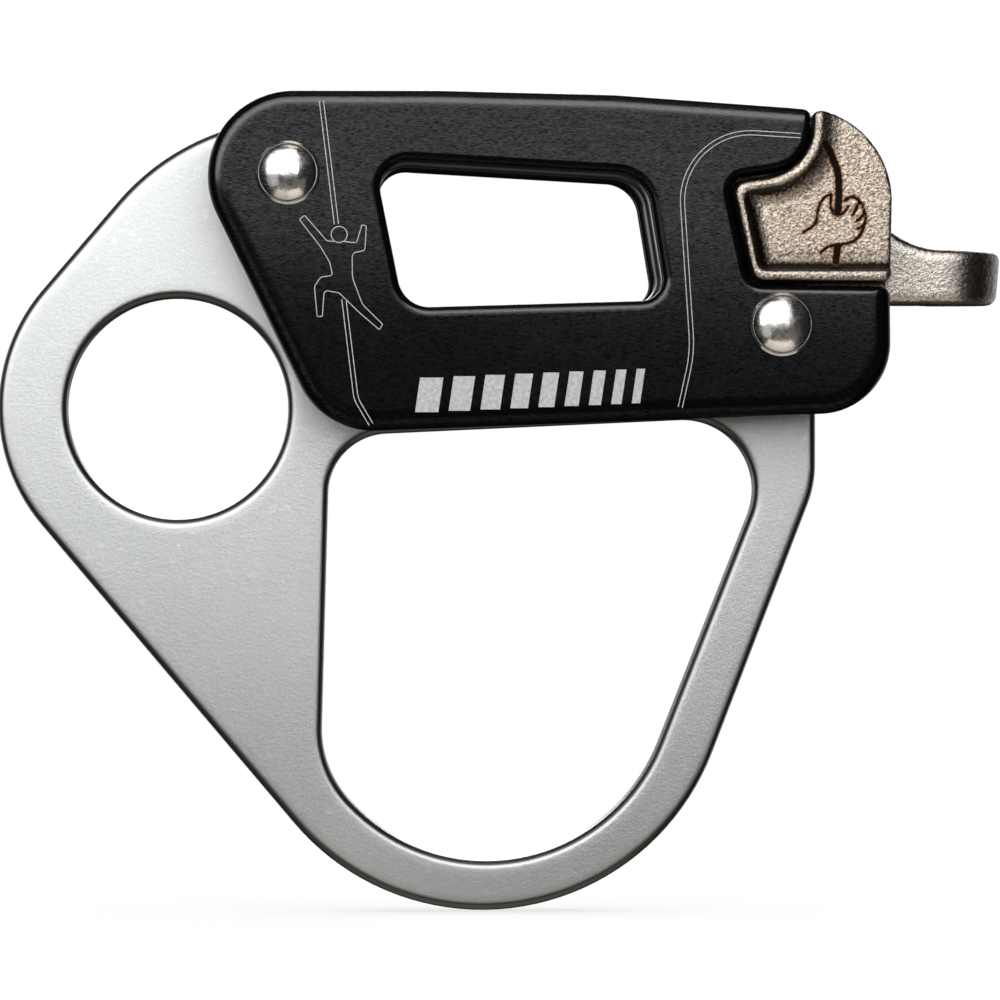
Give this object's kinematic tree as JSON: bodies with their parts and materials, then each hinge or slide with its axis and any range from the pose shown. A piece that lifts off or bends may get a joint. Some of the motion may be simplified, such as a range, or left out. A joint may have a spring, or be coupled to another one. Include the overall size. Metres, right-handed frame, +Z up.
{
  "type": "belay device",
  "caption": "Plate-type belay device with riveted side plates, a bracket with hanging eye and carabiner loop, and a grooved brake saddle.",
  "frame": {"origin": "centre of the whole device's bounding box, on its middle plane", "axes": "+X along the device towards the brake nose, +Y across the plates from the front plate to the rear plate, +Z up from the carabiner loop to the plates' top edge"},
  "size_m": [0.1093, 0.0402, 0.0889],
  "materials": {
    "side_plate": "black anodised over a fine horizontal brushing",
    "bracket": "matte bead-blasted natural anodising",
    "saddle": "cast stainless steel, coarse satin grain, warm tone",
    "spacer": "turned, satin",
    "rivet": "polished steel with fine wear scratches"
  },
  "bodies": {
    "root": {"front_side_plate": "side_plate", "rear_side_plate": "side_plate", "centre_bracket": "bracket", "brake_saddle": "saddle", "left_front_spacer": "spacer", "left_rear_spacer": "spacer", "left_rivet": "rivet", "right_rivet": "rivet"}
  },
  "joints": []
}
